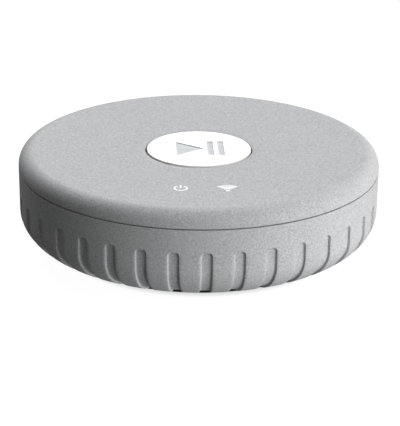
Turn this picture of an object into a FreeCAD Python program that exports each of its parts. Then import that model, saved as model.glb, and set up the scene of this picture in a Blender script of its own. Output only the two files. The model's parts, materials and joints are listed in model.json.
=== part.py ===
import FreeCAD
import Part

import math
import os

# A round network media player: a 110 mm puck in two grey plastic shells, with one large push button in
# the lid, two lit status symbols, a fluted side, a rubber foot ring and a recessed connector panel.
# Millimetres. +Z is up, the front is -Y, and the origin is the centre of the foot ring's underside.

V = FreeCAD.Vector
UP = V(0, 0, 1)

# ---- outline of the closed case ------------------------------------------------------------------
BODY_R = 55.0
LID_TOP_Z = 31.7
SHOULDER_R = 4.4
SEAM_Z = 26.3
SEAM_GAP = 0.4
UNDERSIDE_Z = 1.0
FLAT_UNDERSIDE_R = 36.5
SIDE_LOW_R = 54.7
SIDE_LOW_Z = 13.5
BOWL_WALL = 2.2
BOWL_MOUTH_R = 52.6
LID_WALL = 2.0
CEILING_Z = LID_TOP_Z - LID_WALL
FLOOR_Z = UNDERSIDE_Z + BOWL_WALL

# ---- flutes round the lower side -----------------------------------------------------------------
FLUTE_COUNT = 35
FLUTE_TOP_Z = 19.0
FLUTE_DEPTH = 0.7
FLUTE_MOUTH = 3.6
FLUTE_FLOOR = 2.9
FLUTE_CORNER_R = 1.1
FLUTE_INNER_R = 38.0
REAR_GAP_DEG = 25.0

# ---- foot ring and the four case screws that it covers -------------------------------------------
FOOT_OUTER_R = 38.8
FOOT_INNER_R = 31.0
FOOT_TOP_Z = 2.15
FOOT_EDGE_R = 0.3
CHANNEL_TOP_Z = 2.2
CASE_SCREW_R = 35.0
CASE_SCREW_AZIMUTHS = (45.0, 135.0, 225.0, 315.0)
COUNTERBORE_R = 3.0
COUNTERBORE_TOP_Z = 4.6
LOW_BOSS_R = 4.2
LOW_BOSS_TOP_Z = 6.4
LID_BOSS_R = 3.4
LID_BOSS_LOW_Z = 6.6
CASE_PILOT_R = 1.35
CASE_SHANK_R = 1.3
CASE_SHANK_LENGTH = 14.0
CASE_HEAD_LOW_Z = 2.4
CASE_HEAD_R = 2.75
CASE_HEAD_HEIGHT = 2.2
LABEL_R = 26.0
LABEL_THICK = 0.15

# ---- push button ---------------------------------------------------------------------------------
BUTTON_TRAVEL = 0.6
BUTTON_TOP_Z = 31.85
BUTTON_CAP_R = 15.6
BUTTON_CAP_LOW_Z = 31.1
BUTTON_CAP_EDGE_R = 0.1
BUTTON_HOLE_R = 16.35
BUTTON_HOLE_EDGE_R = 0.12
LID_DISH_R = 18.8
LID_DISH_DEPTH = 0.22
EMBLEM_DEPTH = 0.45
EMBLEM_THICK = 0.2
EMBLEM_TRIANGLE_X = (-7.0, 1.6)
EMBLEM_BAR_X = (3.5, 6.7)
EMBLEM_BAR_WIDTH = 2.0
EMBLEM_HALF_DEPTH = 6.4
EMBLEM_CORNER_R = 0.45
CARRIER_RIM_R = 15.9
CARRIER_RIM_TOP_Z = 31.78
CARRIER_CUP_LOW_Z = 30.45
CARRIER_R = 13.3
CARRIER_LOW_Z = 29.5
STEM_R = 2.2
GUIDE_BORE_R = 13.7
GUIDE_OUTER_R = 20.0
GUIDE_LOW_Z = 28.4
HOOK_AZIMUTHS = (30.0, 150.0, 270.0)
HOOK_HALF_WIDTH = 2.5
LEG_INNER_R = 12.9
LEG_OUTER_R = 14.3
HOOK_OUTER_R = 15.4
HOOK_LOW_Z = 27.0
HOOK_TOP_Z = 28.2
HOOK_CHAMFER = 0.8
NOTCH_CLEARANCE = 0.3
PEG_AZIMUTHS = (90.0, 210.0, 330.0)
PEG_R = 0.95
PEG_CIRCLE_R = 18.3
STAKE_R = 1.5
STAKE_LOW_Z = 27.6

# ---- control board below the button, with its switch and lamps -----------------------------------
CONTROL_TOP_Z = 24.2
CONTROL_THICK = 1.2
CONTROL_LOW_Z = CONTROL_TOP_Z - CONTROL_THICK
CONTROL_R = 26.5
TONGUE_HALF_WIDTH = 12.0
TONGUE_FRONT_Y = -39.5
CONTROL_SCREW_R = 23.5
CONTROL_BOSS_R = 3.0
CONTROL_SCREW_HEAD = (2.2, 1.5)
CONTROL_SCREW_LENGTH = 5.0
SWITCH_SIDE = 6.2
SWITCH_TOP_Z = 27.6
PLUNGER_R = 1.75
PLUNGER_HOLE_R = 1.85
PLUNGER_TOP_Z = 28.3
PLUNGER_LOW_Z = 27.0
SPRING_COIL_R = 5.4
SPRING_WIRE_R = 0.25
SPRING_TURNS = 4.5

# ---- lit symbols in the lid ----------------------------------------------------------------------
SYMBOL_Y = -34.3
SYMBOL_X = 6.9
POWER_OUTER_R = 2.15
POWER_STROKE = 0.6
POWER_OPENING_DEG = 32.0
POWER_BAR = (0.3, 2.5)
WAVE_DOT_Y = -2.3
WAVE_DOT_R = 0.65
WAVE_RADII = (1.6, 2.8, 4.0)
WAVE_STROKE = 0.8
WAVE_HALF_DEG = 44.0
LIGHT_BLOCK = (9.0, 8.0)
LIGHT_WINDOW = (7.4, 6.4)
LIGHT_BLOCK_LOW_Z = 28.3

# ---- connector panel in the rear recess ----------------------------------------------------------
PANEL_Y = 49.3
PANEL_THICK = 1.5
PANEL_HALF_WIDTH = 17.5
PANEL_LOW_Z = 8.6
PANEL_TOP_Z = 20.4
PANEL_CORNER_R = 2.0
PANEL_CLEARANCE = 0.1
RECESS_WALL = 1.6
LIP_WIDTH = 1.0
LIP_INNER_Y = 46.4
SETUP_X = -14.0
SETUP_Z = 13.2
SETUP_R = 1.5
SETUP_TRAVEL = 0.5
POWER_X = -6.6
LINE_OUT_X = 2.4
OPTICAL_X = 11.3

# ---- main board ----------------------------------------------------------------------------------
BOARD_TOP_Z = 10.6
BOARD_LOW_Z = 9.0
BOARD_R = 46.0
BOARD_REAR_Y = 46.0
BOARD_REAR_HALF_WIDTH = 18.0
BOSS_HOLE_R = 4.8
STANDOFF_POINTS = ((0.0, -38.5), (-36.0, 14.0), (36.0, 14.0))
STANDOFF_R = 3.0
BOARD_PILOT_R = 1.15
BOARD_SHANK_R = 1.1
MAIN_SCREW_HEAD = (2.4, 1.6)
MAIN_SCREW_LENGTH = 6.0

# ---- antennas standing against the side walls ----------------------------------------------------
ANTENNA_INNER_X = 48.4
ANTENNA_THICK = 0.8
ANTENNA_HALF_LENGTH = 15.0
ANTENNA_LOW_Z = 12.0
ANTENNA_TOP_Z = 20.0
RIB_Y = 12.0
RIB_TOP_Z = 18.0
LEAD_R = 0.5
LEAD_Z = 15.0
PLUG_R = 1.2
PLUG_Y = -11.5
PLUG_X = (-31.0, -23.0)


# ---- small helpers -------------------------------------------------------------------------------
def box(x, y, z):
    """A box from three (low, high) pairs."""
    return Part.makeBox(x[1] - x[0], y[1] - y[0], z[1] - z[0], V(x[0], y[0], z[0]))


def block(cx, cy, width, depth, z):
    """A box centred on (cx, cy) between the two heights in z."""
    return box((cx - width / 2, cx + width / 2), (cy - depth / 2, cy + depth / 2), z)


def disc(radius, z, x=0.0, y=0.0):
    """An upright cylinder between the two heights in z."""
    return Part.makeCylinder(radius, z[1] - z[0], V(x, y, z[0]), UP)


def ring(outer, inner, z, x=0.0, y=0.0):
    return disc(outer, z, x, y).cut(disc(inner, z, x, y))


def rod_y(radius, y, x, z):
    """A cylinder along Y between the two values in y."""
    return Part.makeCylinder(radius, y[1] - y[0], V(x, y[0], z), V(0, 1, 0))


def turned(shape, degrees):
    """A copy of the shape, turned about the vertical axis of the case."""
    copy = shape.copy()
    copy.rotate(V(0, 0, 0), UP, degrees)
    return copy


def on_circle(radius, degrees):
    angle = math.radians(degrees)
    return radius * math.cos(angle), radius * math.sin(angle)


def line(a, b):
    """A straight edge between two (radius, height) points of a turned outline."""
    return Part.LineSegment(V(a[0], 0, a[1]), V(b[0], 0, b[1])).toShape()


def arc_through(a, b, c):
    """The circular edge through three (radius, height) points."""
    return Part.Arc(V(a[0], 0, a[1]), V(b[0], 0, b[1]), V(c[0], 0, c[1])).toShape()


def corner_arc(a, b, centre, radius):
    """The quarter-circle edge from a to b round a centre, all (radius, height) points."""
    way = V(a[0] + b[0] - 2 * centre[0], 0, a[1] + b[1] - 2 * centre[1])
    middle = V(centre[0], 0, centre[1]) + way.normalize() * radius
    return arc_through(a, (middle.x, middle.z), b)


def revolved(edges):
    return Part.Face(Part.Wire(edges)).revolve(V(0, 0, 0), UP, 360)


def rounded_plate(x, z, corner, y):
    """A plate in the XZ plane with rounded corners, between the two values in y."""
    plate = box(x, y, z)
    upright = [e for e in plate.Edges if abs(e.tangentAt(e.FirstParameter).y) > 0.99]
    return plate.makeFillet(corner, upright)


def stadium(cx, cz, width, height, y):
    """A flat-sided slot shape with round ends, along Y between the two values in y."""
    half = (width - height) / 2
    ends = [rod_y(height / 2, y, cx + side * half, cz) for side in (-1, 1)]
    middle = box((cx - half, cx + half), y, (cz - height / 2, cz + height / 2))
    return middle.fuse(ends).removeSplitter()


def soft_path(points):
    """Straight runs joined by tangent arcs, each as large as its two runs allow."""
    corners = [V(*p) for p in points]
    edges = []
    start = corners[0]
    for before, corner, after in zip(corners, corners[1:], corners[2:]):
        inward = (corner - before).normalize()
        outward = (after - corner).normalize()
        reach = 0.45 * min((corner - before).Length, (after - corner).Length)
        half_turn = inward.getAngle(outward) / 2
        radius = reach / math.tan(half_turn)
        towards_centre = (outward - inward).normalize()
        middle = corner + towards_centre * (radius / math.cos(half_turn) - radius)
        first = corner - inward * reach
        last = corner + outward * reach
        edges.append(Part.LineSegment(start, first).toShape())
        edges.append(Part.Arc(first, middle, last).toShape())
        start = last
    edges.append(Part.LineSegment(start, corners[-1]).toShape())
    return Part.Wire(edges)


def tube(points, radius):
    path = soft_path(points)
    direction = V(*points[1]) - V(*points[0])
    section = Part.Wire(Part.makeCircle(radius, V(*points[0]), direction))
    return path.makePipeShell([section], True, False)


def screw(x, y, z, head_r, head_h, shank_r, shank_length):
    """A cross-head screw standing head down at height z, its shank pointing up."""
    body = disc(head_r, (z, z + head_h), x, y)
    body = body.fuse(disc(shank_r, (z + head_h, z + head_h + shank_length), x, y))
    slot = head_r * 0.55
    for width, depth in ((2 * slot, 0.5), (0.5, 2 * slot)):
        body = body.cut(block(x, y, width, depth, (z, z + head_h * 0.6)))
    return body


def flipped(shape, x, y, z):
    """The shape turned upside down about the point (x, y, z)."""
    copy = shape.copy()
    copy.rotate(V(x, y, z), V(1, 0, 0), 180)
    return copy


def upright_edges(shape):
    """The straight edges of a shape that run along Z."""
    return [e for e in shape.Edges if abs(e.tangentAt(e.FirstParameter).z) > 0.99]


# ---- bottom shell --------------------------------------------------------------------------------
def bowl_curve(inset):
    """The lower curve of the bowl as a quarter ellipse, moved inwards by a wall thickness."""
    centre = V(FLAT_UNDERSIDE_R, 0, SIDE_LOW_Z)
    wide = V(SIDE_LOW_R - inset, 0, SIDE_LOW_Z)
    low = V(FLAT_UNDERSIDE_R, 0, UNDERSIDE_Z + inset)
    return Part.Ellipse(wide, low, centre)


def bowl_solid(inset, mouth_r, mouth_z):
    """The filled bowl shape below the seam."""
    low = UNDERSIDE_Z + inset
    curve = Part.ArcOfEllipse(bowl_curve(inset), 0, math.pi / 2)
    return revolved(
        [
            line((0, mouth_z), (mouth_r, mouth_z)),
            line((mouth_r, mouth_z), (SIDE_LOW_R - inset, SIDE_LOW_Z)),
            curve.toShape(),
            line((FLAT_UNDERSIDE_R, low), (0, low)),
            line((0, low), (0, mouth_z)),
        ]
    )


def flute_cutter():
    """One flute: a tapered groove swept down the side and in under the bowl, at azimuth 0."""
    drop = (SEAM_Z - FLUTE_TOP_Z) / (SEAM_Z - SIDE_LOW_Z)
    top = V(BODY_R - (BODY_R - SIDE_LOW_R) * drop, 0, FLUTE_TOP_Z)
    knee = V(SIDE_LOW_R, 0, SIDE_LOW_Z)
    end = math.acos((FLUTE_INNER_R - FLAT_UNDERSIDE_R) / (SIDE_LOW_R - FLAT_UNDERSIDE_R))
    curve = Part.ArcOfEllipse(bowl_curve(0), 0, end)
    path = Part.Wire([Part.LineSegment(top, knee).toShape(), curve.toShape()])
    along = (knee - top).normalize()
    outward = V(-along.z, 0, along.x)
    flare = (FLUTE_MOUTH - FLUTE_FLOOR) / 2
    corners = []
    for depth, half in ((-FLUTE_DEPTH, FLUTE_FLOOR / 2), (FLUTE_DEPTH, FLUTE_MOUTH / 2 + flare)):
        sides = (-half, half) if depth < 0 else (half, -half)
        corners += [top + outward * depth + V(0, side, 0) for side in sides]
    section = Part.makePolygon(corners + corners[:1])
    groove = path.makePipeShell([section], True, False)
    half = FLUTE_MOUTH / 2
    end_block = box((FLAT_UNDERSIDE_R, BODY_R + 2), (-half, half), (UNDERSIDE_Z - 2, FLUTE_TOP_Z))
    top_edges = [e for e in end_block.Edges if e.BoundBox.ZMin > FLUTE_TOP_Z - 0.1]
    top_sides = [e for e in top_edges if e.BoundBox.XLength > 1]
    return groove.common(end_block.makeFillet(FLUTE_CORNER_R, top_sides))


def flutes():
    """Every flute, all round but for the connector panel."""
    groove = flute_cutter()
    angles = [-90 + 360 / FLUTE_COUNT * i for i in range(FLUTE_COUNT)]
    return [turned(groove, a) for a in angles if abs(a - 90) > REAR_GAP_DEG]


def panel_outline(gap, y):
    """The rounded outline of the recess, or of the panel in it when it is smaller by a gap."""
    return rounded_plate(
        (-PANEL_HALF_WIDTH + gap, PANEL_HALF_WIDTH - gap),
        (PANEL_LOW_Z + gap, PANEL_TOP_Z - gap),
        PANEL_CORNER_R - gap,
        y,
    )


def antenna_ribs(outer):
    """Four slotted ribs on the side walls, which hold the two antennas."""
    ribs = []
    for side in (-1, 1):
        for y in (-RIB_Y, RIB_Y):
            span = sorted((side * (ANTENNA_INNER_X - 1.2), side * (BODY_R - 1)))
            ribs.append(box(span, (y - 1, y + 1), (FLOOR_Z, RIB_TOP_Z)).common(outer))
    return ribs


def antenna_slots():
    """The slots in those ribs, a little wider than the antenna boards."""
    slots = []
    for side in (-1, 1):
        faces = (ANTENNA_INNER_X - 0.05, ANTENNA_INNER_X + ANTENNA_THICK + 0.05)
        span = sorted(side * face for face in faces)
        slots.append(box(span, (-RIB_Y - 2, RIB_Y + 2), (ANTENNA_LOW_Z, RIB_TOP_Z + 1)))
    return slots


def bottom_shell():
    rim_z = SEAM_Z - SEAM_GAP / 2
    outer = bowl_solid(0, BODY_R, rim_z)
    shell = outer.cut(bowl_solid(BOWL_WALL, BOWL_MOUTH_R, rim_z + 1))
    side = PANEL_HALF_WIDTH + RECESS_WALL
    height = (PANEL_LOW_Z - RECESS_WALL, PANEL_TOP_Z + RECESS_WALL)
    added = [box((-side, side), (LIP_INNER_Y, BODY_R + 1), height).common(outer)]
    added += antenna_ribs(outer)
    case_points = [on_circle(CASE_SCREW_R, a) for a in CASE_SCREW_AZIMUTHS]
    added += [disc(LOW_BOSS_R, (FLOOR_Z, LOW_BOSS_TOP_Z), x, y) for x, y in case_points]
    added += [disc(STANDOFF_R, (FLOOR_Z, BOARD_LOW_Z), x, y) for x, y in STANDOFF_POINTS]
    shell = shell.fuse(added)

    below = UNDERSIDE_Z - 1
    removed = [ring(FOOT_OUTER_R + 0.1, FOOT_INNER_R - 0.1, (below, CHANNEL_TOP_Z))]
    for x, y in case_points:
        removed.append(disc(COUNTERBORE_R, (CHANNEL_TOP_Z - 0.5, COUNTERBORE_TOP_Z), x, y))
        removed.append(disc(CASE_SHANK_R + 0.3, (COUNTERBORE_TOP_Z - 1, LOW_BOSS_TOP_Z + 1), x, y))
    for x, y in STANDOFF_POINTS:
        removed.append(disc(BOARD_PILOT_R, (FLOOR_Z, BOARD_LOW_Z + 1), x, y))
    removed.append(panel_outline(0, (PANEL_Y - PANEL_THICK - 0.05, BODY_R + 2)))
    removed.append(panel_outline(LIP_WIDTH, (LIP_INNER_Y - 1, PANEL_Y)))
    removed += antenna_slots()
    return shell.cut(removed + flutes())


def foot_ring():
    foot = ring(FOOT_OUTER_R, FOOT_INNER_R, (0, FOOT_TOP_Z))
    low_rims = [e for e in foot.Edges if e.BoundBox.ZMax < 0.01 and e.Length > 1]
    return foot.makeFillet(FOOT_EDGE_R, low_rims)


def rating_label():
    """The blank foil label inside the foot ring."""
    return disc(LABEL_R, (UNDERSIDE_Z - LABEL_THICK, UNDERSIDE_Z))


def case_screws():
    sizes = (CASE_HEAD_LOW_Z, CASE_HEAD_R, CASE_HEAD_HEIGHT, CASE_SHANK_R, CASE_SHANK_LENGTH)
    points = [on_circle(CASE_SCREW_R, a) for a in CASE_SCREW_AZIMUTHS]
    return Part.makeCompound([screw(x, y, *sizes) for x, y in points])


# ---- lid and its lit symbols ---------------------------------------------------------------------
def sector(cx, cy, outer, inner, centre_deg, half_deg, z):
    """Part of a ring, seen from above, round (cx, cy)."""
    start = centre_deg - half_deg
    pie = Part.makeCylinder(outer, z[1] - z[0], V(cx, cy, z[0]), UP, 2 * half_deg)
    pie.rotate(V(cx, cy, 0), UP, start)
    return pie.cut(disc(inner, z, cx, cy))


def power_strokes(z):
    """The power symbol: a ring open to the rear, and a bar in the opening."""
    x = -SYMBOL_X
    inner = POWER_OUTER_R - POWER_STROKE
    half = 180 - POWER_OPENING_DEG
    circle = sector(x, SYMBOL_Y, POWER_OUTER_R, inner, 270, half, z)
    low, high = POWER_BAR
    return [circle, block(x, SYMBOL_Y + (low + high) / 2, POWER_STROKE, high - low, z)]


def wave_strokes(z):
    """The wireless symbol: three arcs fanning out from a dot."""
    y = SYMBOL_Y + WAVE_DOT_Y
    half = WAVE_STROKE / 2
    arcs = [sector(SYMBOL_X, y, r + half, r - half, 90, WAVE_HALF_DEG, z) for r in WAVE_RADII]
    return arcs + [disc(WAVE_DOT_R, z, SYMBOL_X, y)]


def light_guide(strokes, x):
    """A clear block under the lid, with the symbol standing up through the lid flush with its top."""
    base = block(x, SYMBOL_Y, *LIGHT_BLOCK, (LIGHT_BLOCK_LOW_Z, CEILING_Z))
    return base.fuse(strokes((CEILING_Z, LID_TOP_Z)))


def light_baffle():
    """A black frame with one well for each lamp, between the control board and the light guides."""
    z = (CONTROL_TOP_Z, LIGHT_BLOCK_LOW_Z)
    frame = block(0, SYMBOL_Y, 2 * SYMBOL_X - LIGHT_BLOCK[0], 2.0, z)
    frame = frame.fuse([block(s * SYMBOL_X, SYMBOL_Y, *LIGHT_BLOCK, z) for s in (-1, 1)])
    return frame.cut([block(s * SYMBOL_X, SYMBOL_Y, *LIGHT_WINDOW, z) for s in (-1, 1)])


def lid_blank():
    """The turned shape of the lid: a shallow dip round the button, and a tongue inside the bowl."""
    rim_z = SEAM_Z + SEAM_GAP / 2
    tongue_r = BOWL_MOUTH_R - 0.2
    tongue_inner = tongue_r - 1.4
    tongue_z = SEAM_Z - 3.3
    crown = (BODY_R - SHOULDER_R, LID_TOP_Z)
    side = (BODY_R, LID_TOP_Z - SHOULDER_R)
    inner_fillet = 1.8
    inner_side = (tongue_inner, CEILING_Z - inner_fillet)
    inner_top = (tongue_inner - inner_fillet, CEILING_Z)
    dish_low = LID_TOP_Z - LID_DISH_DEPTH
    hole_top = (BUTTON_HOLE_R + BUTTON_HOLE_EDGE_R, dish_low)
    hole_side = (BUTTON_HOLE_R, dish_low - BUTTON_HOLE_EDGE_R)
    dish_rim = (LID_DISH_R, LID_TOP_Z)
    dish_middle = ((hole_top[0] + LID_DISH_R) / 2, LID_TOP_Z - LID_DISH_DEPTH / 4)
    return revolved(
        [
            arc_through(hole_top, dish_middle, dish_rim),
            line(dish_rim, crown),
            corner_arc(crown, side, (crown[0], side[1]), SHOULDER_R),
            line(side, (BODY_R, rim_z)),
            line((BODY_R, rim_z), (tongue_r, rim_z)),
            line((tongue_r, rim_z), (tongue_r, tongue_z)),
            line((tongue_r, tongue_z), (tongue_inner, tongue_z)),
            line((tongue_inner, tongue_z), inner_side),
            corner_arc(inner_side, inner_top, (inner_top[0], inner_side[1]), inner_fillet),
            line(inner_top, (BUTTON_HOLE_R, CEILING_Z)),
            line((BUTTON_HOLE_R, CEILING_Z), hole_side),
            corner_arc(hole_side, hole_top, (hole_top[0], hole_side[1]), BUTTON_HOLE_EDGE_R),
        ]
    )


def top_shell():
    added = []
    removed = power_strokes((CEILING_Z - 1, LID_TOP_Z + 1)) + wave_strokes((CEILING_Z - 1, LID_TOP_Z + 1))
    for azimuth in CASE_SCREW_AZIMUTHS:
        x, y = on_circle(CASE_SCREW_R, azimuth)
        added.append(disc(LID_BOSS_R, (LID_BOSS_LOW_Z, CEILING_Z + 0.5), x, y))
        removed.append(disc(CASE_PILOT_R, (LID_BOSS_LOW_Z - 1, CEILING_Z - 7), x, y))
    for azimuth in HOOK_AZIMUTHS:
        x, y = on_circle(CONTROL_SCREW_R, azimuth)
        added.append(disc(CONTROL_BOSS_R, (CONTROL_TOP_Z, CEILING_Z + 0.5), x, y))
        removed.append(disc(BOARD_PILOT_R, (CONTROL_TOP_Z - 1, CEILING_Z - 1), x, y))
    for azimuth in PEG_AZIMUTHS:
        x, y = on_circle(PEG_CIRCLE_R, azimuth)
        added.append(disc(PEG_R, (STAKE_LOW_Z, CEILING_Z + 0.5), x, y))
        added.append(disc(STAKE_R, (STAKE_LOW_Z, GUIDE_LOW_Z), x, y))
    return lid_blank().fuse(added).cut(removed)


# ---- push button ---------------------------------------------------------------------------------
def button_guide():
    """The black ring under the lid that guides the button and stops its hooks."""
    guide = ring(GUIDE_OUTER_R, GUIDE_BORE_R, (GUIDE_LOW_Z, CEILING_Z))
    removed = []
    half = HOOK_HALF_WIDTH + NOTCH_CLEARANCE
    notch = box((LEG_INNER_R - 1, LEG_OUTER_R + NOTCH_CLEARANCE), (-half, half), (GUIDE_LOW_Z, CEILING_Z))
    removed += [turned(notch, a) for a in HOOK_AZIMUTHS]
    for azimuth in PEG_AZIMUTHS:
        x, y = on_circle(PEG_CIRCLE_R, azimuth)
        removed.append(disc(PEG_R + 0.1, (GUIDE_LOW_Z, CEILING_Z), x, y))
    return guide.cut(removed)


def emblem_shapes(z):
    """A play triangle and two pause bars, as solids between the two heights in z."""
    left, tip = EMBLEM_TRIANGLE_X
    half = EMBLEM_HALF_DEPTH
    corners = [V(x, y, z[0]) for x, y in ((left, -half), (tip, 0.0), (left, half), (left, -half))]
    triangle = Part.Face(Part.makePolygon(corners)).extrude(V(0, 0, z[1] - z[0]))
    bars = [block(x, 0, EMBLEM_BAR_WIDTH, 2 * half, z) for x in EMBLEM_BAR_X]
    return [shape.makeFillet(EMBLEM_CORNER_R, upright_edges(shape)) for shape in [triangle] + bars]


def button_cap():
    """The white disc that the thumb presses, with the emblem's recess in it."""
    cap = disc(BUTTON_CAP_R, (BUTTON_CAP_LOW_Z, BUTTON_TOP_Z))
    rim = [e for e in cap.Edges if e.BoundBox.ZMin > BUTTON_TOP_Z - 0.01 and e.Length > 1]
    cap = cap.makeFillet(BUTTON_CAP_EDGE_R, rim)
    return cap.cut(emblem_shapes((BUTTON_TOP_Z - EMBLEM_DEPTH, BUTTON_TOP_Z + 1)))


def button_emblem():
    low = BUTTON_TOP_Z - EMBLEM_DEPTH
    return Part.makeCompound(emblem_shapes((low, low + EMBLEM_THICK)))


def button_carrier():
    """The black cup that holds the cap, with three hooked legs and the stem that works the switch."""
    plate = disc(CARRIER_R, (CARRIER_LOW_Z, CARRIER_CUP_LOW_Z))
    cup = disc(CARRIER_RIM_R, (CARRIER_CUP_LOW_Z, CARRIER_RIM_TOP_Z))
    cup = cup.cut(disc(BUTTON_CAP_R, (BUTTON_CAP_LOW_Z, CARRIER_RIM_TOP_Z)))
    wide = (-HOOK_HALF_WIDTH, HOOK_HALF_WIDTH)
    leg = box((LEG_INNER_R, LEG_OUTER_R), wide, (HOOK_LOW_Z, CARRIER_CUP_LOW_Z))
    hook = box((LEG_INNER_R, HOOK_OUTER_R), wide, (HOOK_LOW_Z, HOOK_TOP_Z))
    outer_edges = [e for e in hook.Edges if e.BoundBox.XMin > HOOK_OUTER_R - 0.01]
    toe = [e for e in outer_edges if e.BoundBox.ZMax < HOOK_LOW_Z + 0.01]
    leg = leg.fuse(hook.makeChamfer(HOOK_CHAMFER, toe))
    added = [turned(leg, a) for a in HOOK_AZIMUTHS]
    added.append(disc(STEM_R, (PLUNGER_TOP_Z, CARRIER_LOW_Z)))
    return plate.fuse([cup] + added)


def button_spring():
    """The coil spring round the switch that lifts the button."""
    low = CONTROL_TOP_Z + SPRING_WIRE_R
    high = CARRIER_LOW_Z - SPRING_WIRE_R
    pitch = (high - low) / SPRING_TURNS
    helix = Part.makeLongHelix(pitch, high - low, SPRING_COIL_R)
    helix.translate(V(0, 0, low))
    start = V(SPRING_COIL_R, 0, low)
    section = Part.Wire(Part.makeCircle(SPRING_WIRE_R, start, V(0, 1, 0)))
    return Part.Wire(helix.Edges).makePipeShell([section], True, True)


# ---- control board -------------------------------------------------------------------------------
def control_board():
    z = (CONTROL_LOW_Z, CONTROL_TOP_Z)
    board = disc(CONTROL_R, z)
    board = board.fuse(box((-TONGUE_HALF_WIDTH, TONGUE_HALF_WIDTH), (TONGUE_FRONT_Y, -15), z))
    points = [on_circle(CONTROL_SCREW_R, a) for a in HOOK_AZIMUTHS]
    return board.cut([disc(BOARD_PILOT_R + 0.2, z, x, y) for x, y in points]).removeSplitter()


def control_board_screws():
    points = [on_circle(CONTROL_SCREW_R, a) for a in HOOK_AZIMUTHS]
    low = CONTROL_LOW_Z - CONTROL_SCREW_HEAD[1]
    sizes = (low, *CONTROL_SCREW_HEAD, BOARD_SHANK_R, CONTROL_SCREW_LENGTH)
    return Part.makeCompound([screw(x, y, *sizes) for x, y in points])


def button_switch():
    """The square switch under the button, with a blind hole for its plunger and four leads."""
    body = block(0, 0, SWITCH_SIDE, SWITCH_SIDE, (CONTROL_TOP_Z, SWITCH_TOP_Z))
    body = body.cut(disc(PLUNGER_HOLE_R, (PLUNGER_LOW_Z - BUTTON_TRAVEL - 0.1, SWITCH_TOP_Z)))
    leads = [
        block(sx * (SWITCH_SIDE / 2 + 0.4), sy * 2.2, 0.8, 0.7, (CONTROL_TOP_Z, CONTROL_TOP_Z + 0.4))
        for sx in (-1, 1)
        for sy in (-1, 1)
    ]
    return body.fuse(leads)


def status_lamps():
    z = (CONTROL_TOP_Z, CONTROL_TOP_Z + 0.9)
    return Part.makeCompound([block(s * SYMBOL_X, SYMBOL_Y, 3.2, 2.8, z) for s in (-1, 1)])


# ---- ribbon cable between the two boards ---------------------------------------------------------
RIBBON_HALF_WIDTH = 4.0
RIBBON_THICK = 0.3
RIBBON_TOP_Z = 22.0
RIBBON_LOW_Z = 11.6
RIBBON_BEND_Y = 28.0
UPPER_MOUTH_Y = 16.0
LOWER_MOUTH_Y = 24.0
CONNECTOR_HALF_WIDTH = 6.0
SLOT_DEPTH = 1.6


def ribbon_cable():
    """A flat cable that leaves the control board, turns down and back, and enters the main board."""
    wide = (-RIBBON_HALF_WIDTH, RIBBON_HALF_WIDTH)
    half = RIBBON_THICK / 2
    middle_z = (RIBBON_TOP_Z + RIBBON_LOW_Z) / 2
    bend_r = (RIBBON_TOP_Z - RIBBON_LOW_Z) / 2
    start = V(wide[0], RIBBON_BEND_Y, middle_z)
    outer = Part.makeCylinder(bend_r + half, wide[1] - wide[0], start, V(1, 0, 0))
    inner = Part.makeCylinder(bend_r - half, wide[1] - wide[0], start, V(1, 0, 0))
    rear = box(wide, (RIBBON_BEND_Y, RIBBON_BEND_Y + 10), (0, 40))
    bend = outer.cut(inner).common(rear)
    inset = SLOT_DEPTH - 0.1
    upper = box(wide, (UPPER_MOUTH_Y - inset, RIBBON_BEND_Y), (RIBBON_TOP_Z - half, RIBBON_TOP_Z + half))
    lower = box(wide, (LOWER_MOUTH_Y - inset, RIBBON_BEND_Y), (RIBBON_LOW_Z - half, RIBBON_LOW_Z + half))
    return bend.fuse([upper, lower]).removeSplitter()


def ribbon_connector(mouth_y, slot_z, z):
    """A board connector with a slot in its rear face for the ribbon."""
    body = box((-CONNECTOR_HALF_WIDTH, CONNECTOR_HALF_WIDTH), (mouth_y - 5, mouth_y), z)
    half = RIBBON_HALF_WIDTH + 0.1
    slot = box((-half, half), (mouth_y - SLOT_DEPTH, mouth_y), (slot_z - 0.2, slot_z + 0.2))
    return body.cut(slot)


# ---- main board and what stands on it ------------------------------------------------------------
PROCESSOR_Y = -2.0
PROCESSOR_TOP_Z = BOARD_TOP_Z + 1.2
PAD_TOP_Z = PROCESSOR_TOP_Z + 0.5
SINK_SIDE = 26.0
SINK_BASE = 2.0
SINK_FINS = 7
SINK_FIN_THICK = 1.2
SINK_TOP_Z = 20.0
MODULE_X = -27.0
MODULE_Y = -4.0
MODULE_TOP_Z = BOARD_TOP_Z + 0.8
CAPACITOR_POINTS = ((14.0, 24.5), (20.5, 14.0), (11.0, 16.5))
INDUCTOR_POINTS = ((-11.0, 31.0), (-11.0, 22.0))
MEMORY_POINTS = ((20.0, 2.0), (20.0, -11.5))
PROGRAM_MEMORY_POINT = (2.0, -25.5)
AUDIO_CONVERTER_POINT = (10.5, 31.5)
REGULATOR_POINT = (-21.0, 15.0)
CRYSTAL_POINT = (16.0, -24.0)


def main_board():
    z = (BOARD_LOW_Z, BOARD_TOP_Z)
    half = BOARD_REAR_HALF_WIDTH
    board = disc(BOARD_R, z).fuse(box((-half, half), (30, BOARD_REAR_Y), z))
    holes = [disc(BOARD_PILOT_R + 0.2, z, x, y) for x, y in STANDOFF_POINTS]
    for azimuth in CASE_SCREW_AZIMUTHS:
        holes.append(disc(BOSS_HOLE_R, z, *on_circle(CASE_SCREW_R, azimuth)))
    return board.cut(holes).removeSplitter()


def main_board_screws():
    """Screws put in from above, whose heads lie on the board."""
    z = BOARD_TOP_Z
    sizes = (z - MAIN_SCREW_HEAD[1], *MAIN_SCREW_HEAD, BOARD_SHANK_R, MAIN_SCREW_LENGTH)
    return Part.makeCompound([flipped(screw(x, y, *sizes), x, y, z) for x, y in STANDOFF_POINTS])


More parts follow.
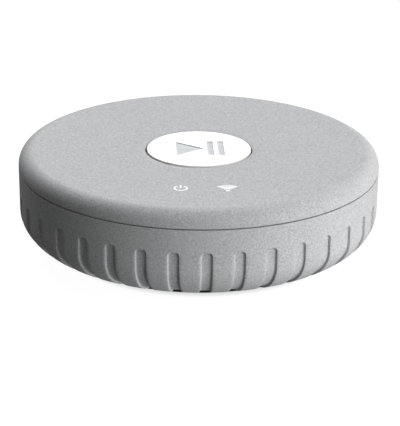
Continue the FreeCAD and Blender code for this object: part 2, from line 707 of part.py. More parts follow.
def heat_sink():
    half = SINK_SIDE / 2
    sink = block(0, PROCESSOR_Y, SINK_SIDE, SINK_SIDE, (PAD_TOP_Z, PAD_TOP_Z + SINK_BASE))
    pitch = (SINK_SIDE - SINK_FIN_THICK) / (SINK_FINS - 1)
    centres = [-half + SINK_FIN_THICK / 2 + i * pitch for i in range(SINK_FINS)]
    z = (PAD_TOP_Z + SINK_BASE, SINK_TOP_Z)
    return sink.fuse([block(x, PROCESSOR_Y, SINK_FIN_THICK, SINK_SIDE, z) for x in centres])


def leaded_chip(cx, cy, width, depth, height, leads):
    """A flat chip with a row of leads along its two longer sides."""
    z = BOARD_TOP_Z
    body = block(cx, cy, width, depth, (z + 0.1, z + height))
    pitch = depth / leads
    rows = [cy - depth / 2 + pitch * (i + 0.5) for i in range(leads)]
    for side in (-1, 1):
        x = cx + side * (width / 2 + 0.3)
        body = body.fuse([block(x, y, 0.8, pitch * 0.5, (z, z + 0.35)) for y in rows])
    return body


def memory_chips():
    return Part.makeCompound([leaded_chip(x, y, 8.0, 11.0, 1.1, 12) for x, y in MEMORY_POINTS])


def capacitor(x, y):
    """A round capacitor can on its square base."""
    z = BOARD_TOP_Z
    can = disc(3.15, (z + 0.6, z + 7.4), x, y)
    top_rim = [e for e in can.Edges if e.BoundBox.ZMin > z + 7.3 and e.Length > 1]
    return can.makeFillet(0.4, top_rim).fuse(block(x, y, 6.6, 6.6, (z, z + 0.8)))


def inductor(x, y):
    """A square shielded coil with cut corners."""
    body = block(x, y, 7.0, 7.0, (BOARD_TOP_Z, BOARD_TOP_Z + 4.0))
    dimple = disc(2.4, (BOARD_TOP_Z + 3.6, BOARD_TOP_Z + 4.0), x, y)
    return body.makeChamfer(1.2, upright_edges(body)).cut(dimple)


def small_parts():
    """Rows of tiny ceramic capacitors and resistors beside the chips."""
    z = (BOARD_TOP_Z, BOARD_TOP_Z + 0.6)
    rows = [(-16.5, -12.0, 0, 2.4, 9), (27.5, -14.0, 0, 2.4, 9), (-8.0, -19.0, 2.2, 0, 7)]
    rows += [(-19.5, 30.5, 0, 2.0, 4), (-33.0, 8.0, 2.2, 0, 6), (8.5, -29.5, 2.2, 0, 6)]
    parts = []
    for x, y, step_x, step_y, count in rows:
        for i in range(count):
            size = (1.6, 0.8) if step_y else (0.8, 1.6)
            parts.append(block(x + i * step_x, y + i * step_y, *size, z))
    return Part.makeCompound(parts)


def wireless_module():
    return block(MODULE_X, MODULE_Y, 14.0, 18.0, (BOARD_TOP_Z, MODULE_TOP_Z))


def wireless_shield():
    """The pressed metal lid over the radio."""
    z = (MODULE_TOP_Z, MODULE_TOP_Z + 1.8)
    outer, inner, y = 12.4, 11.8, MODULE_Y + 2.4
    lid = block(MODULE_X, y, outer, outer, z)
    lid = lid.makeFillet(0.6, upright_edges(lid))
    return lid.cut(block(MODULE_X, y, inner, inner, (z[0], z[1] - 0.3)))


# ---- antennas ------------------------------------------------------------------------------------
def antenna(side):
    x = sorted((side * ANTENNA_INNER_X, side * (ANTENNA_INNER_X + ANTENNA_THICK)))
    return box(x, (-ANTENNA_HALF_LENGTH, ANTENNA_HALF_LENGTH), (ANTENNA_LOW_Z, ANTENNA_TOP_Z))


def antenna_plugs():
    z = (MODULE_TOP_Z, MODULE_TOP_Z + 1.3)
    return Part.makeCompound([disc(PLUG_R, z, x, PLUG_Y) for x in PLUG_X])


def antenna_lead(route, plug_x):
    """A lead that starts square to an antenna, follows the route, and ends square to its plug."""
    z = MODULE_TOP_Z + LEAD_R + 0.1
    side = math.copysign(1, route[0][0])
    first = [(side * ANTENNA_INNER_X, 0, LEAD_Z), (side * (ANTENNA_INNER_X - 4), 0, LEAD_Z)]
    last = [(plug_x, PLUG_Y - 5.5, z), (plug_x, PLUG_Y - PLUG_R, z)]
    return tube(first + route + last, LEAD_R)


def left_lead():
    return antenna_lead([(-40, -9, 14.0)], PLUG_X[0])


def right_lead():
    """The longer lead, which crosses the front half of the main board."""
    return antenna_lead([(32, -14, 13.6), (15, -21, 13.2), (-8, -21.5, 13.0)], PLUG_X[1])


# ---- rear connectors -----------------------------------------------------------------------------
USB_Z = BOARD_TOP_Z + 1.75
USB_DEPTH = 7.3
USB_OUTER = (8.94, 3.16)
USB_INNER = (8.34, 2.56)
JACK_Z = BOARD_TOP_Z + 2.9
JACK_BORE_R = 1.8
JACK_NOSE_R = 2.95
JACK_HOLE_END_Y = 36.2
JACK_BODY_Y = (35.4, 47.6)
OPTICAL_Z = 14.8
OPTICAL_HALF = 2.8
OPTICAL_NOSE_HALF = 3.7
OPTICAL_NOSE_TOP_Z = 19.2
OPTICAL_BODY_Y = (38.0, 47.6)
OPTICAL_FACE_THICK = 1.0
SHUTTER_AXIS_Y = 47.55
SHUTTER_AXIS_Z = OPTICAL_Z + OPTICAL_HALF + 0.25
SHUTTER_THICK = 0.7
SHUTTER_BARREL_R = 0.7
PIN_R = 0.35


def connector_panel():
    back = PANEL_Y - PANEL_THICK
    panel = panel_outline(PANEL_CLEARANCE, (back, PANEL_Y))
    through = (back - 1, PANEL_Y + 1)
    half = OPTICAL_NOSE_HALF + 0.1
    height = (OPTICAL_Z - half, OPTICAL_NOSE_TOP_Z + 0.1)
    window = rounded_plate((OPTICAL_X - half, OPTICAL_X + half), height, 0.6, through)
    holes = [
        rod_y(SETUP_R + 0.2, through, SETUP_X, SETUP_Z),
        stadium(POWER_X, USB_Z, USB_OUTER[0] + 0.3, USB_OUTER[1] + 0.3, through),
        rod_y(JACK_NOSE_R + 0.1, through, LINE_OUT_X, JACK_Z),
        window,
    ]
    return panel.cut(holes)


def power_socket():
    """The metal shell of the power socket, closed at its inner end."""
    y = (PANEL_Y - USB_DEPTH, PANEL_Y)
    shell = stadium(POWER_X, USB_Z, *USB_OUTER, y)
    shell = shell.cut(stadium(POWER_X, USB_Z, *USB_INNER, (y[0] + 0.8, y[1] + 1)))
    feet = [block(POWER_X + s * 4.2, y[0] + 1.8, 0.5, 1.4, (BOARD_TOP_Z, USB_Z)) for s in (-1, 1)]
    return shell.fuse(feet)


def power_socket_tongue():
    y = (PANEL_Y - USB_DEPTH + 0.8, PANEL_Y - 1.5)
    return box((POWER_X - 3.35, POWER_X + 3.35), y, (USB_Z - 0.35, USB_Z + 0.35))


def line_out_jack():
    """The moulded body of the 3.5 mm socket, with a round nose that fills its hole in the panel."""
    height = (BOARD_TOP_Z, BOARD_TOP_Z + 5.6)
    body = block(LINE_OUT_X, sum(JACK_BODY_Y) / 2, 6.2, JACK_BODY_Y[1] - JACK_BODY_Y[0], height)
    body = body.fuse(rod_y(JACK_NOSE_R, (JACK_BODY_Y[1] - 1, PANEL_Y), LINE_OUT_X, JACK_Z))
    return body.cut(rod_y(JACK_BORE_R, (JACK_HOLE_END_Y, PANEL_Y + 1), LINE_OUT_X, JACK_Z))


def line_out_contacts():
    """Three spring contacts folded down the outside of the socket body."""
    contacts = []
    for side, y in ((-1, 38.5), (1, 41.5), (-1, 44.5)):
        x = LINE_OUT_X + side * 3.3
        blade = block(x, y, 0.3, 1.6, (BOARD_TOP_Z + 0.3, JACK_Z + 1.5))
        foot = block(x + side * 0.4, y, 1.1, 1.6, (BOARD_TOP_Z, BOARD_TOP_Z + 0.3))
        contacts.append(blade.fuse(foot))
    return Part.makeCompound(contacts)


def optical_socket():
    """The optical output: a box with a square mouth, and a deeper cavity that the flap folds into."""
    x = (OPTICAL_X - 4.6, OPTICAL_X + 4.6)
    body = box(x, OPTICAL_BODY_Y, (BOARD_TOP_Z, OPTICAL_NOSE_TOP_Z))
    nose = rounded_plate(
        (OPTICAL_X - OPTICAL_NOSE_HALF, OPTICAL_X + OPTICAL_NOSE_HALF),
        (OPTICAL_Z - OPTICAL_NOSE_HALF, OPTICAL_NOSE_TOP_Z),
        0.6,
        (OPTICAL_BODY_Y[1] - 0.2, PANEL_Y),
    )
    mouth_x = (OPTICAL_X - OPTICAL_HALF, OPTICAL_X + OPTICAL_HALF)
    low = OPTICAL_Z - OPTICAL_HALF
    face_y = PANEL_Y - OPTICAL_FACE_THICK
    mouth = box(mouth_x, (face_y - 1, PANEL_Y + 1), (low, OPTICAL_Z + OPTICAL_HALF))
    inside_x = (mouth_x[0] - 0.2, mouth_x[1] + 0.2)
    cavity = box(inside_x, (40.2, face_y), (low, OPTICAL_Z + OPTICAL_HALF + 1.1))
    pin_start = V(x[0] + 0.5, SHUTTER_AXIS_Y, SHUTTER_AXIS_Z)
    pin_hole = Part.makeCylinder(PIN_R, x[1] - x[0] - 1, pin_start, V(1, 0, 0))
    return body.fuse(nose).cut([mouth, cavity, pin_hole])


def optical_shutter():
    """The flap behind the mouth, hung on a pin along its top edge."""
    half = OPTICAL_HALF + 0.05
    x = (OPTICAL_X - half, OPTICAL_X + half)
    low = OPTICAL_Z - OPTICAL_HALF + 0.15
    y = (SHUTTER_AXIS_Y - SHUTTER_THICK / 2, SHUTTER_AXIS_Y + SHUTTER_THICK / 2)
    flap = box(x, y, (low, SHUTTER_AXIS_Z))
    axis_start = V(x[0], SHUTTER_AXIS_Y, SHUTTER_AXIS_Z)
    barrel = Part.makeCylinder(SHUTTER_BARREL_R, 2 * half, axis_start, V(1, 0, 0))
    bore = Part.makeCylinder(PIN_R + 0.05, 2 * half, axis_start, V(1, 0, 0))
    return flap.fuse(barrel).cut(bore)


def optical_shutter_pin():
    half = OPTICAL_HALF + 1.0
    start = V(OPTICAL_X - half, SHUTTER_AXIS_Y, SHUTTER_AXIS_Z)
    return Part.makeCylinder(PIN_R, 2 * half, start, V(1, 0, 0))


def optical_emitter():
    """The clear light source at the inner end of the optical socket."""
    return rod_y(1.2, (40.2, 41.6), OPTICAL_X, OPTICAL_Z)


def setup_button():
    """The small round button in the panel, with a collar behind the panel that keeps it in."""
    back = PANEL_Y - PANEL_THICK
    cap = rod_y(SETUP_R, (46.2, PANEL_Y + 0.6), SETUP_X, SETUP_Z)
    outer_rim = [e for e in cap.Edges if e.BoundBox.YMin > PANEL_Y + 0.5 and e.Length > 1]
    return cap.makeFillet(0.3, outer_rim).fuse(rod_y(2.2, (back - 1.0, back - 0.2), SETUP_X, SETUP_Z))


def setup_switch():
    """The upright switch behind the setup button."""
    y = (41.4, 45.6)
    body = box((SETUP_X - 2.3, SETUP_X + 2.3), y, (BOARD_TOP_Z, SETUP_Z + 2.0))
    return body.cut(rod_y(0.95, (44.3, 46), SETUP_X, SETUP_Z))


def setup_plunger():
    return rod_y(0.85, (45.0, 46.2), SETUP_X, SETUP_Z)


# ---- export --------------------------------------------------------------------------------------
def parts():
    """Every separate piece, by the name that it is known by."""
    power_x, wave_x = -SYMBOL_X, SYMBOL_X
    return {
        "bottom_shell": bottom_shell(),
        "top_shell": top_shell(),
        "foot_ring": foot_ring(),
        "rating_label": rating_label(),
        "case_screws": case_screws(),
        "button_cap": button_cap(),
        "button_emblem": button_emblem(),
        "button_carrier": button_carrier(),
        "button_guide": button_guide(),
        "button_spring": button_spring(),
        "button_switch": button_switch(),
        "button_switch_plunger": disc(PLUNGER_R, (PLUNGER_LOW_Z, PLUNGER_TOP_Z)),
        "power_light_guide": light_guide(power_strokes, power_x),
        "wireless_light_guide": light_guide(wave_strokes, wave_x),
        "light_baffle": light_baffle(),
        "status_lamps": status_lamps(),
        "control_board": control_board(),
        "control_board_screws": control_board_screws(),
        "control_ribbon_connector": ribbon_connector(UPPER_MOUTH_Y, RIBBON_TOP_Z, (20.9, CONTROL_LOW_Z)),
        "ribbon_cable": ribbon_cable(),
        "main_ribbon_connector": ribbon_connector(LOWER_MOUTH_Y, RIBBON_LOW_Z, (BOARD_TOP_Z, 12.7)),
        "main_board": main_board(),
        "main_board_screws": main_board_screws(),
        "processor": block(0, PROCESSOR_Y, 15.0, 15.0, (BOARD_TOP_Z, PROCESSOR_TOP_Z)),
        "thermal_pad": block(0, PROCESSOR_Y, 14.0, 14.0, (PROCESSOR_TOP_Z, PAD_TOP_Z)),
        "heat_sink": heat_sink(),
        "memory_chips": memory_chips(),
        "program_memory": leaded_chip(*PROGRAM_MEMORY_POINT, 5.2, 5.2, 1.6, 4),
        "audio_converter": leaded_chip(*AUDIO_CONVERTER_POINT, 4.4, 6.4, 1.1, 8),
        "power_regulator": leaded_chip(*REGULATOR_POINT, 4.0, 5.0, 1.5, 4),
        "power_inductors": Part.makeCompound([inductor(x, y) for x, y in INDUCTOR_POINTS]),
        "filter_capacitors": Part.makeCompound([capacitor(x, y) for x, y in CAPACITOR_POINTS]),
        "small_parts": small_parts(),
        "clock_crystal": block(*CRYSTAL_POINT, 3.2, 2.5, (BOARD_TOP_Z, BOARD_TOP_Z + 0.8)),
        "wireless_module": wireless_module(),
        "wireless_shield": wireless_shield(),
        "antenna_left": antenna(-1),
        "antenna_right": antenna(1),
        "antenna_plugs": antenna_plugs(),
        "antenna_lead_left": left_lead(),
        "antenna_lead_right": right_lead(),
        "connector_panel": connector_panel(),
        "power_socket": power_socket(),
        "power_socket_tongue": power_socket_tongue(),
        "line_out_jack": line_out_jack(),
        "line_out_contacts": line_out_contacts(),
        "optical_socket": optical_socket(),
        "optical_shutter": optical_shutter(),
        "optical_shutter_pin": optical_shutter_pin(),
        "optical_emitter": optical_emitter(),
        "setup_button": setup_button(),
        "setup_switch": setup_switch(),
        "setup_switch_plunger": setup_plunger(),
    }


def main():
    os.makedirs("parts", exist_ok=True)
    for name, shape in parts().items():
        solids = shape.Solids
        print(f"{name}: {len(solids)} solid, {shape.Volume:.1f} mm3, valid {shape.isValid()}")
        out = solids[0] if len(solids) == 1 else Part.makeCompound(solids)
        out.exportStep(f"parts/{name}.step")


main()
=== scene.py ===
import json
import math

import bmesh
import bpy
from mathutils import Matrix, Vector


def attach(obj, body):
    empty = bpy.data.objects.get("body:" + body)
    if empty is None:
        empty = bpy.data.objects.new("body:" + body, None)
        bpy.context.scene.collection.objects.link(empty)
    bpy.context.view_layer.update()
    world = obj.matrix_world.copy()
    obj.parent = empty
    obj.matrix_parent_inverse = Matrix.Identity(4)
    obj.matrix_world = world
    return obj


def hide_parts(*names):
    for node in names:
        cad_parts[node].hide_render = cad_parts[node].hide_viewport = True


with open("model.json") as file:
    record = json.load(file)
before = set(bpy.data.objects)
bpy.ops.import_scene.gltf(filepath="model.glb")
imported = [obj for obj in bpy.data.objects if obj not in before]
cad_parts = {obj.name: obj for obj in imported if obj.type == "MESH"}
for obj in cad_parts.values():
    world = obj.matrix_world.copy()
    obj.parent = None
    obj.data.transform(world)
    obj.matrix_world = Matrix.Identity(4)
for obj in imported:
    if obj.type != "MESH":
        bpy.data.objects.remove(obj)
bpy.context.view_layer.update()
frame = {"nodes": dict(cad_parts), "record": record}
NODES = frame["nodes"]
MM = 0.001

# ---- driving sizes of the case, in millimetres --------------------------------------------------------
# They follow the CAD model. UNDERSIDE is 0.25 mm higher than there, so that the dark foot shows.
BODY_R = 55.0
LID_TOP = 31.7
CEILING = 29.7
CEILING_ROUND = 1.8
TONGUE_OUT = 52.4
TONGUE_IN = 51.0
TONGUE_LOW = 23.0
SHOULDER_R = 4.4
SEAM_Z = 26.3
SEAM_GAP = 0.4
SEAM_EDGE = 0.05
CHAMFER = 0.2
SIDE_LOW_R = 54.7
SIDE_LOW_Z = 13.5
FLAT_R = 36.5
UNDERSIDE = 1.25
WALL = 2.2
BUTTON_TOP = 31.85
BUTTON_R = 15.6
BUTTON_LOW = 31.1
BUTTON_EDGE = 0.1
EMBLEM_TOP = 31.6
HOLE_R = 16.35
HOLE_EDGE = 0.12
DISH_R = 18.8
DISH_DEPTH = 0.22
CHANNEL_OUT = 38.9
CHANNEL_IN = 30.9
CHANNEL_TOP = 2.2
FOOT_OUT = 38.8
FOOT_IN = 31.0
FOOT_TOP = 2.15
FOOT_GROOVES = (33.0, 36.0)
MOUTH_R = 52.6
PANEL_BACK = 47.75
RECESS = (35.0, 11.8)
RECESS_CENTRE_Z = 14.5
RECESS_CORNER = 2.0
RECESS_WALL = 1.6
RECESS_WALL_BACK = 46.4
PANEL_LEDGE = 1.0
FLUTES = 35
FLUTE_TOP = 19.0
FLUTE_DEPTH = 0.7
FLUTE_MIDWIDTH = 3.25
FLUTE_CORNER = 1.15
FLUTE_WALL = 0.36
FLUTE_SOFT = 0.22
REAR_GAP_DEG = 25.0
CONTACT_SHADOW_OUT = 42.4

# radii and heights of extra rings that keep the long plain stretches evenly meshed
LID_RINGS = (22.0, 30.0, 42.0)
RINGS_ABOVE_FLUTES = (24.5, 23.0, 21.5, 20.4, 19.8)
RINGS_DOWN_FLUTES = (16.3, 15.2, 14.2)

# the step between the close rings over the flutes' upper ends, and the radius inside which the columns
# keep their angles
FLUTE_END_STEP = 0.11
LEAST_COLUMN_R = 30.0


# ---- camera -----------------------------------------------------------------------------------------
def add_camera():
    """A long lens, about a metre away and 21 degrees above the horizon."""
    data = bpy.data.cameras.new("camera")
    data.lens = 274.2
    data.sensor_width = 36.0
    data.shift_x = 0.0038
    data.shift_y = -0.0267
    data.clip_start = 0.05
    data.clip_end = 100.0
    camera = bpy.data.objects.new("camera", data)
    bpy.context.scene.collection.objects.link(camera)
    yaw = math.radians(-2.75)
    tilt = math.radians(20.59)
    roll = math.radians(0.53)
    camera.location = Matrix.Rotation(yaw, 3, "Z") @ Vector((0, -0.933, 0.365))
    camera.rotation_euler = (
        Matrix.Rotation(yaw, 3, "Z")
        @ Matrix.Rotation(math.pi / 2 - tilt, 3, "X")
        @ Matrix.Rotation(roll, 3, "Z")
    ).to_euler()
    bpy.context.scene.camera = camera


# ---- mesh tools -------------------------------------------------------------------------------------
def new_object(name, bm):
    """An object from a bmesh in millimetres, with smooth faces and sharp creases."""
    bmesh.ops.recalc_face_normals(bm, faces=bm.faces)
    if bm.calc_volume(signed=True) < 0:
        bmesh.ops.reverse_faces(bm, faces=bm.faces)
    mesh = bpy.data.meshes.new(name)
    bmesh.ops.scale(bm, vec=(MM, MM, MM), verts=bm.verts)
    bm.to_mesh(mesh)
    bm.free()
    made = bpy.data.objects.new(name, mesh)
    bpy.context.scene.collection.objects.link(made)
    crease(mesh)
    return made


def crease(mesh, angle=math.radians(32)):
    """Smooth shading everywhere but across edges sharper than the angle."""
    bm = bmesh.new()
    bm.from_mesh(mesh)
    for face in bm.faces:
        face.smooth = True
    for edge in bm.edges:
        edge.smooth = edge.is_manifold and edge.calc_face_angle(0) < angle
    bm.to_mesh(mesh)
    bm.free()


def skin_rings(rings, loop=False):
    """A bmesh from rings of points. A ring of one point closes that end; loop joins last to first."""
    bm = bmesh.new()
    made = [[bm.verts.new(p) for p in ring] for ring in rings]
    pairs = list(zip(made, made[1:])) + ([(made[-1], made[0])] if loop else [])
    for a, b in pairs:
        for i in range(max(len(a), len(b))):
            j = (i + 1) % max(len(a), len(b))
            corners = [a[i % len(a)], a[j % len(a)], b[j % len(b)], b[i % len(b)]]
            unique = list(dict.fromkeys(corners))
            if len(unique) > 2:
                bm.faces.new(unique)
    return bm


def revolve(outline, segments=256, loop=True):
    """A turned bmesh from (radius, height) points. A point on the axis closes that end."""
    rings = []
    for r, z in outline:
        if r < 1e-6:
            rings.append([Vector((0, 0, z))])
            continue
        angles = [2 * math.pi * i / segments for i in range(segments)]
        rings.append([Vector((r * math.cos(a), r * math.sin(a), z)) for a in angles])
    return skin_rings(rings, loop)


def arc(r, z, radius, start, end, steps=8):
    """(radius, height) points of an arc round (r, z), by angle in degrees from outwards to upwards."""
    angles = [math.radians(start + (end - start) * i / steps) for i in range(steps + 1)]
    return [(r + radius * math.cos(a), z + radius * math.sin(a)) for a in angles]


def carve(target, cutters, operation="DIFFERENCE"):
    """Applies exact booleans to the target and removes the cutters."""
    for cutter in cutters:
        step = target.modifiers.new("carve", "BOOLEAN")
        step.operation = operation
        step.solver = "EXACT"
        step.object = cutter
    bpy.context.view_layer.update()
    graph = bpy.context.evaluated_depsgraph_get()
    mesh = bpy.data.meshes.new_from_object(target.evaluated_get(graph))
    target.modifiers.clear()
    target.data = mesh
    for cutter in cutters:
        bpy.data.objects.remove(cutter)
    crease(mesh)


def prism_of(node, moves):
    """A copy of a CAD node to cut with. moves gives new heights, in mm, for points near the old ones."""
    copy = bpy.data.objects.new("cutter", NODES[node].data.copy())
    bpy.context.scene.collection.objects.link(copy)
    bm = bmesh.new()
    bm.from_mesh(copy.data)
    bmesh.ops.remove_doubles(bm, verts=bm.verts, dist=1e-6)
    for vert in bm.verts:
        for old, new in moves:
            if abs(vert.co.z - old * MM) < 2e-5:
                vert.co.z = new * MM
                break
    bm.to_mesh(copy.data)
    bm.free()
    return copy


def finish_piece(piece, body, slot, material, *nodes):
    """Gives a piece its material and body, and hides the CAD nodes that it stands for."""
    piece.data.materials.clear()
    piece.data.materials.append(material)
    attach(piece, body)
    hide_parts(*nodes)


# ---- lid --------------------------------------------------------------------------------------------
def lid_outline():
    """(radius, height) points of the lid, from the hole's edge outwards and back along the inside."""
    rim = SEAM_Z + SEAM_GAP / 2
    crown = BODY_R - SHOULDER_R
    points = dish() + [(r, LID_TOP) for r in (*LID_RINGS, crown - 0.25)]
    points += reversed(arc(crown, LID_TOP - SHOULDER_R, SHOULDER_R, 0, 90, 22))
    points += [(BODY_R, rim + 0.5)]
    points += arc(BODY_R - SEAM_EDGE, rim + SEAM_EDGE, SEAM_EDGE, 0, -90, 4)
    points += [(TONGUE_OUT + 0.1, rim), (TONGUE_OUT, rim - 0.1)]
    points += [(TONGUE_OUT, TONGUE_LOW + CHAMFER), (TONGUE_OUT - CHAMFER, TONGUE_LOW)]
    points += [(TONGUE_IN + CHAMFER, TONGUE_LOW), (TONGUE_IN, TONGUE_LOW + CHAMFER)]
    points += arc(TONGUE_IN - CEILING_ROUND, CEILING - CEILING_ROUND, CEILING_ROUND, 0, 90, 8)
    low = LID_TOP - DISH_DEPTH
    points += [(HOLE_R + CHAMFER, CEILING), (HOLE_R, CEILING + CHAMFER), (HOLE_R, low - 0.4)]
    points += arc(HOLE_R + HOLE_EDGE, low - HOLE_EDGE, HOLE_EDGE, 180, 100, 5)
    return points


def dish():
    """The shallow dip in the lid round the button, from the hole's edge out to its rim."""
    inner = HOLE_R + HOLE_EDGE
    steps = 12
    points = []
    for i in range(steps + 1):
        share = i / steps
        points.append((inner + (DISH_R - inner) * share, LID_TOP - DISH_DEPTH * (1 - share) ** 2))
    return points


def make_lid(material):
    lid = new_object("lid", revolve(lid_outline()))
    windows = [
        prism_of(node, ((CEILING, CEILING - 0.4), (LID_TOP, LID_TOP + 2)))
        for node in ("power_light_guide", "wireless_light_guide")
    ]
    carve(lid, windows)
    finish_piece(lid, "case", "grey_plastic", material, "top_shell")


# ---- bowl -------------------------------------------------------------------------------------------
def bowl_radius(z):
    """Radius of the plain outer surface at a height."""
    if z >= SIDE_LOW_Z:
        return SIDE_LOW_R + (BODY_R - SIDE_LOW_R) * (z - SIDE_LOW_Z) / (SEAM_Z - SIDE_LOW_Z)
    drop = (SIDE_LOW_Z - z) / (SIDE_LOW_Z - UNDERSIDE)
    return FLAT_R + (SIDE_LOW_R - FLAT_R) * math.sqrt(max(0.0, 1 - drop * drop))


def meridian():
    """(radius, height, outward radial, outward vertical) down the outer surface, from rim to foot."""
    rim = SEAM_Z - SEAM_GAP / 2
    heights = [rim - 0.6, *RINGS_ABOVE_FLUTES]
    heights += [FLUTE_TOP + 0.1 - FLUTE_END_STEP * i for i in range(20)]
    heights += RINGS_DOWN_FLUTES
    line = [(bowl_radius(z), z, 1.0, 0.0) for z in heights]
    wide, tall = SIDE_LOW_R - FLAT_R, SIDE_LOW_Z - UNDERSIDE
    end = math.acos((CHANNEL_OUT - FLAT_R) / wide)
    steps = 32
    for i in range(steps + 1):
        t = end * i / steps
        normal = Vector((math.cos(t) / wide, -math.sin(t) / tall)).normalized()
        line.append((FLAT_R + wide * math.cos(t), SIDE_LOW_Z - tall * math.sin(t), *normal))
    return line


def flute_depth(across, along):
    """Depth of a flute at a distance across from its middle and along from its top end."""
    half = FLUTE_MIDWIDTH / 2
    top = FLUTE_WALL / 2
    dx = abs(across) - (half - FLUTE_CORNER)
    dy = top + FLUTE_CORNER - along
    distance = math.hypot(max(dx, 0), max(dy, 0)) + min(max(dx, dy), 0) - FLUTE_CORNER
    return FLUTE_DEPTH * ramp(0.5 - distance / FLUTE_WALL)


def ramp(share):
    """From 0 to 1: a straight slope with a soft start and end."""
    share = min(1.0, max(0.0, share))
    if share > 0.5:
        return 1 - ramp(1 - share)
    if share < FLUTE_SOFT:
        return share * share / (2 * FLUTE_SOFT * (1 - FLUTE_SOFT))
    return (share - FLUTE_SOFT / 2) / (1 - FLUTE_SOFT)


def column_places():
    """Places across one flute: (millimetres from its middle, share of the plain ridge beyond)."""
    foot = FLUTE_MIDWIDTH / 2 - FLUTE_WALL / 2
    wall = [foot + FLUTE_WALL * share for share in (-0.05, 0.11, 0.22, 0.5, 0.78, 0.89, 1.05)]
    near = [0.0, 0.6 * foot] + wall
    half = [(w, 0.0) for w in near] + [(near[-1], share) for share in (0.3, 0.65, 1.0)]
    mirrored = [(-w, -share) for w, share in half[1:-1]]
    return list(reversed(mirrored)) + half


def ring_angles(radius):
    """The angle of every column on a ring, and its distance across from the nearest flute's middle."""
    sector = 2 * math.pi / FLUTES
    columns = []
    for k in range(FLUTES):
        middle = -math.pi / 2 + k * sector
        for w, share in column_places():
            edge = w / radius
            ridge = (sector / 2 - abs(edge)) * share
            plain = abs((math.degrees(middle) - 90 + 180) % 360 - 180) < REAR_GAP_DEG
            columns.append((middle + edge + ridge, None if plain or share else w))
    return columns


def polar(radius, angle, z):
    return Vector((radius * math.cos(angle), radius * math.sin(angle), z))


def fluted_rings():
    """Rings down the outer surface, pressed in along its normal where a flute is."""
    rings = []
    line = meridian()
    along = 0.0
    before = (line[0][0], line[0][1])
    lengths = []
    for r, z, _, _ in line:
        along += math.dist(before, (r, z))
        before = (r, z)
        lengths.append(along)
    top_along = lengths[0] + (line[0][1] - FLUTE_TOP)
    for (r, z, out, up), length in zip(line, lengths):
        ring = []
        for angle, across in ring_angles(r):
            depth = flute_depth(across, length - top_along) if across is not None else 0.0
            ring.append(polar(r - out * depth, angle, z - up * depth))
        rings.append(ring)
    return rings


def plain_rings(outline):
    """Rings on the same columns as the flutes, without any flute."""
    rings = []
    for r, z in outline:
        if r < 1e-6:
            rings.append([Vector((0, 0, z))])
        else:
            rings.append([polar(r, angle, z) for angle, _ in ring_angles(max(r, LEAST_COLUMN_R))])
    return rings


def bowl_mesh():
    """The whole bowl: up its inside, over the rim, down the fluted outside and along the underside."""
    rim = SEAM_Z - SEAM_GAP / 2
    inner_wide = SIDE_LOW_R - WALL - FLAT_R
    inner_tall = SIDE_LOW_Z - WALL - UNDERSIDE
    rings = plain_rings([(0, UNDERSIDE + WALL), (FLAT_R, UNDERSIDE + WALL)])
    curve = [math.radians(a) for a in range(80, -1, -10)]
    rings += plain_rings(
        [(FLAT_R + inner_wide * math.cos(a), SIDE_LOW_Z - inner_tall * math.sin(a)) for a in curve]
    )
    rings += plain_rings([(MOUTH_R, rim - CHAMFER), (MOUTH_R + CHAMFER, rim)])
    rings += plain_rings(arc(BODY_R - SEAM_EDGE, rim - SEAM_EDGE, SEAM_EDGE, 90, 0, 4))
    rings += fluted_rings()
    rings += plain_rings(
        [(CHANNEL_OUT, CHANNEL_TOP), (CHANNEL_IN, CHANNEL_TOP), (CHANNEL_IN, UNDERSIDE), (0, UNDERSIDE)]
    )
    return skin_rings(rings)


def rounded_outline(width, height, corner, grow=0.0, steps=8):
    """(x, z) points round a rounded rectangle about the recess's middle."""
    points = []
    for cx, cz, start in ((1, 1, 0), (-1, 1, 90), (-1, -1, 180), (1, -1, 270)):
        for i in range(steps + 1):
            a = math.radians(start + 90 * i / steps)
            x = cx * (width / 2 - corner) + (corner + grow) * math.cos(a)
            z = cz * (height / 2 - corner) + (corner + grow) * math.sin(a)
            points.append((x, z))
    dense = []
    for (x0, z0), (x1, z1) in zip(points, points[1:] + points[:1]):
        count = max(1, round(math.dist((x0, z0), (x1, z1)) / 1.2))
        dense += [(x0 + (x1 - x0) * i / count, z0 + (z1 - z0) * i / count) for i in range(count)]
    return [(x, z + RECESS_CENTRE_Z) for x, z in dense]


def surface_y(x, z):
    """How far back the bowl's plain rear surface is."""
    return math.sqrt(bowl_radius(z) ** 2 - x * x)


def make_bowl(material):
    bowl = new_object("bowl", bowl_mesh())
    block = rounded_outline(RECESS[0] + 2 * RECESS_WALL, RECESS[1] + 2 * RECESS_WALL, 1.0)
    surround = [(block, lambda x, z: RECESS_WALL_BACK), (block, lambda x, z: surface_y(x, z) - 1.0)]
    carve(bowl, [new_object("surround", tube_of_sections(surround))], "UNION")
    carve(bowl, [recess_cutter(), lip_cutter()])
    finish_piece(bowl, "case", "grey_plastic", material, "bottom_shell")


def tube_of_sections(sections):
    """A closed solid along Y. Each section is (outline, function from (x, z) to y)."""
    middle = [(0, RECESS_CENTRE_Z)]
    sections = [(middle, sections[0][1]), *sections, (middle, sections[-1][1])]
    return skin_rings([[Vector((x, place(x, z), z)) for x, z in outline] for outline, place in sections])


def recess_cutter():
    """The recess, with its outer edge rounded over where it meets the curved side."""
    edge = 0.5
    steps = 4
    plain = rounded_outline(*RECESS, RECESS_CORNER)
    sections = [(plain, lambda x, z: PANEL_BACK)]
    for i in range(steps + 1):
        a = math.radians(84) * i / steps
        grow = edge * (1 - math.cos(a))
        below = edge * (1 - math.sin(a))
        outline = rounded_outline(*RECESS, RECESS_CORNER, grow)
        sections.append((outline, lambda x, z, below=below: surface_y(x, z) - below))
    last = rounded_outline(*RECESS, RECESS_CORNER, edge * 1.3)
    sections.append((last, lambda x, z: surface_y(x, z) + 2))
    return new_object("recess", tube_of_sections(sections))


